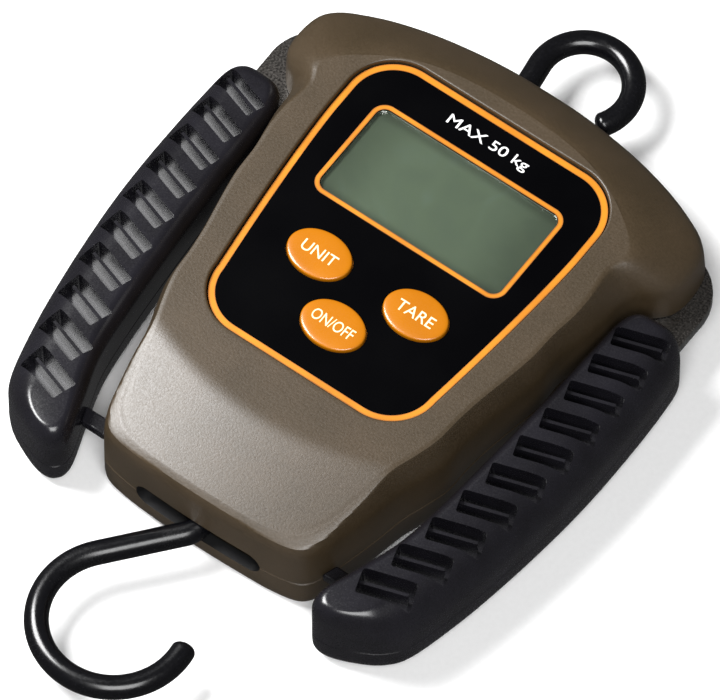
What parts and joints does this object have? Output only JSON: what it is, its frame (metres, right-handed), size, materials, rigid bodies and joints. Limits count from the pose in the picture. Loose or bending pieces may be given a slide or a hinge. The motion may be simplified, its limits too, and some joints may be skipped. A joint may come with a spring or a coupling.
{
  "type": "digital fish scale",
  "caption": "Hand-held digital fish scale with an olive case, recessed key panel, swinging hook, hanging eye and two ribbed fold-out grips.",
  "frame": {"origin": "centre of the bounding box at the back face, lying on its back with the grips folded", "axes": "+X to the right, +Y towards the hanging eye, +Z out of the display"},
  "size_m": [0.1266, 0.2032, 0.0292],
  "materials": {
    "case_olive": "moulded olive brown plastic with a fine satin texture",
    "panel_black": "glossy black panel plate",
    "gasket_rubber": "soft black rubber",
    "clear_lens": "clear window plate",
    "display_grey": "grey green display glass",
    "board_green": "green lacquered circuit board",
    "small_black_plastic": "moulded black plastic",
    "key_orange": "glossy orange plastic",
    "cell_aluminium": "milled aluminium",
    "plain_steel": "stamped steel plate",
    "zinc_steel": "zinc plated steel",
    "black_rod": "black coated round steel rod",
    "arm_steel": "dark coated steel plate with bright edges",
    "grip_black": "semi gloss black moulded plastic",
    "battery_jacket": "printed battery jacket",
    "contact_nickel": "nickel plated spring steel"
  },
  "bodies": {
    "case": {"front_shell": "case_olive", "back_shell": "case_olive", "shell_screws": "zinc_steel", "faceplate": "panel_black", "faceplate_gasket": "gasket_rubber", "display_lens": "clear_lens", "display_module": "display_grey", "display_connectors": "gasket_rubber", "circuit_board": "board_green", "board_screws": "zinc_steel", "key_switches": "small_black_plastic", "buzzer": "small_black_plastic", "load_cell": "cell_aluminium", "load_cell_bolts": "zinc_steel", "chassis_front_plate": "plain_steel", "chassis_back_plate": "plain_steel", "chassis_spacers": "plain_steel", "chassis_screws": "zinc_steel", "yoke_front_plate": "plain_steel", "yoke_back_plate": "plain_steel", "hook_pin": "zinc_steel", "hook_washers": "zinc_steel", "eye_pin": "zinc_steel", "eye_washers": "zinc_steel", "left_pivot_pin": "zinc_steel", "right_pivot_pin": "zinc_steel", "left_pivot_washers": "zinc_steel", "right_pivot_washers": "zinc_steel", "battery_left": "battery_jacket", "battery_right": "battery_jacket", "battery_contacts": "contact_nickel", "battery_cover": "case_olive", "battery_cover_screw": "zinc_steel"},
    "left_handle": {"left_arm": "arm_steel", "left_grip_front": "grip_black", "left_grip_back": "grip_black", "left_grip_screws": "zinc_steel", "left_catch": "grip_black"},
    "right_handle": {"right_arm": "arm_steel", "right_grip_front": "grip_black", "right_grip_back": "grip_black", "right_grip_screws": "zinc_steel", "right_catch": "grip_black"},
    "hook_body": {"hook": "black_rod"},
    "eye_body": {"top_eye": "black_rod"},
    "unit_key": {"unit_button": "key_orange"},
    "tare_key": {"tare_button": "key_orange"},
    "power_key": {"power_button": "key_orange"}
  },
  "joints": [
    {"name": "left_handle_fold", "type": "hinge", "parent": "case", "child": "left_handle", "pos_m": [-0.0455, 0.05323, 0.0095], "axis": [0, 0, -1], "range_deg": [0, 90]},
    {"name": "right_handle_fold", "type": "hinge", "parent": "case", "child": "right_handle", "pos_m": [0.0455, 0.05323, 0.0095], "axis": [0, 0, 1], "range_deg": [0, 90]},
    {"name": "hook_swing", "type": "hinge", "parent": "case", "child": "hook_body", "pos_m": [0, -0.00838, 0.0095], "axis": [0, 0, 1], "range_deg": [-14, 14]},
    {"name": "eye_swing", "type": "hinge", "parent": "case", "child": "eye_body", "pos_m": [0, 0.06263, 0.0095], "axis": [0, 0, 1], "range_deg": [-4, 4]},
    {"name": "unit_press", "type": "slide", "parent": "case", "child": "unit_key", "axis": [0, 0, -1], "range_m": [0, 0.0006], "stiffness_N_per_m": 300},
    {"name": "tare_press", "type": "slide", "parent": "case", "child": "tare_key", "axis": [0, 0, -1], "range_m": [0, 0.0006], "stiffness_N_per_m": 300},
    {"name": "power_press", "type": "slide", "parent": "case", "child": "power_key", "axis": [0, 0, -1], "range_m": [0, 0.0006], "stiffness_N_per_m": 300}
  ]
}
